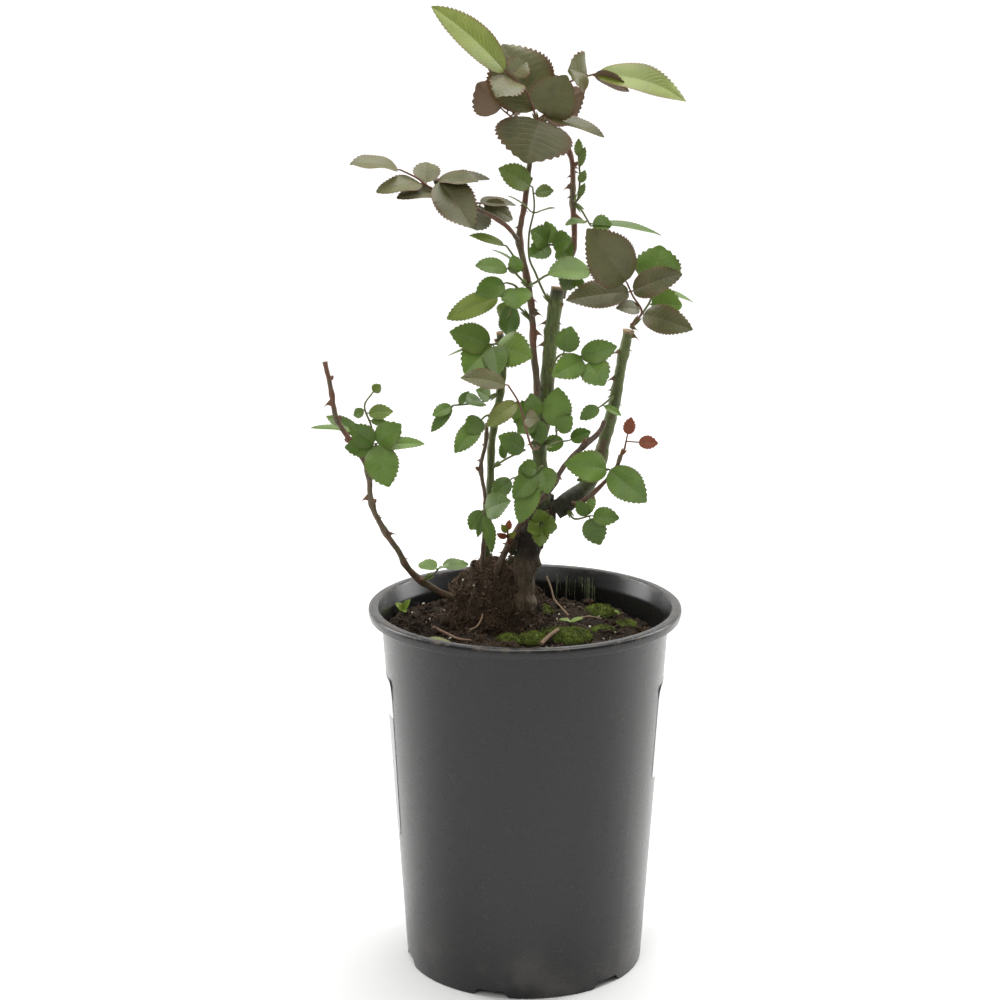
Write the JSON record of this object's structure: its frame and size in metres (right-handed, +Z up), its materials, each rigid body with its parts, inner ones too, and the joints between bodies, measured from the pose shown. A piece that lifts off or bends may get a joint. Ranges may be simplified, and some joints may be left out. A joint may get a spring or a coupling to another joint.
{
  "type": "potted rose",
  "caption": "Young thorny rose bush with bronze and green compound leaves, growing from potting soil in a tapered black nursery pot.",
  "frame": {"origin": "on the ground under the middle of the whole plant's box; the pot's axis stands 14 mm along +X from it", "axes": "+Z up along the pot's axis, -Y the front, +X to the right as seen from the front"},
  "size_m": [0.24, 0.2, 0.612],
  "materials": {
    "pot_plastic": "black recycled polypropylene, satin, lightly scuffed at the rim",
    "soil": "dark moist potting compost with bark fibres and pale perlite grains",
    "root_peat": "brown fibrous peat plug bound by fine roots",
    "moss": "bright green cushion moss",
    "label": "blank white adhesive label with a plain grey lower panel",
    "crown_bark": "dark cracked bark of the graft union",
    "green_bark": "grey-green rose bark",
    "young_bark": "olive to reddish-brown young bark",
    "brown_bark": "brown dry bark",
    "green_leaf": "semi-gloss green serrated leaflets, paler below",
    "bronze_leaf": "bronze young foliage, reddish-brown below",
    "young_leaf": "fresh yellow-green leaflets",
    "red_leaf": "red unfolding leaflets",
    "faded_leaf": "faded fallen leaf"
  },
  "bodies": {
    "root": {"pot": "pot_plastic", "potting_soil": "soil", "root_ball": "root_peat", "moss_front": "moss", "moss_back": "moss", "label_left": "label", "label_right": "label", "crown": "crown_bark", "old_cane": "green_bark", "tall_cane": "young_bark", "upper_cane": "young_bark", "right_cane": "green_bark", "arch_cane": "brown_bark", "left_cane": "young_bark", "thin_stem": "brown_bark", "pruned_stem": "green_bark", "left_shoot": "young_bark", "low_shoot": "young_bark", "fallen_twig": "brown_bark", "fallen_leaf": "faded_leaf", "leaf_top_left": "bronze_leaf", "leaf_top_red": "bronze_leaf", "leaf_top_front": "bronze_leaf", "leaf_top_right": "bronze_leaf", "leaf_long_young": "young_leaf", "leaf_bud_shoot": "young_leaf", "leaf_left_far": "bronze_leaf", "leaf_left_mid": "bronze_leaf", "leaf_left_inner": "bronze_leaf", "leaf_right_upper": "green_leaf", "leaf_mid_green": "green_leaf", "leaf_mid_dark": "green_leaf", "leaf_right_bronze": "bronze_leaf", "leaf_right_green": "green_leaf", "leaf_left_thin": "green_leaf", "leaf_left_upper": "green_leaf", "leaf_left_second": "green_leaf", "leaf_left_light": "green_leaf", "leaf_left_bright": "green_leaf", "leaf_bronze_mid": "bronze_leaf", "leaf_left_low": "green_leaf", "leaf_left_droop": "green_leaf", "leaf_mid_low": "green_leaf", "leaf_centre_left": "green_leaf", "leaf_centre_right": "green_leaf", "leaf_right_middle": "green_leaf", "leaf_right_side": "green_leaf", "leaf_back_low": "green_leaf", "leaf_low_right": "green_leaf", "leaf_young_red": "red_leaf", "leaf_low_hanging": "green_leaf", "leaf_rosette": "green_leaf", "leaf_low_left": "green_leaf", "leaf_low_left_upper": "green_leaf", "leaf_trunk": "green_leaf", "leaf_young_shoot": "red_leaf", "leaf_rim_leaf": "green_leaf", "leaf_sprig_up": "green_leaf", "leaf_sprig_left": "green_leaf", "leaf_sprig_right": "green_leaf"}
  },
  "joints": []
}
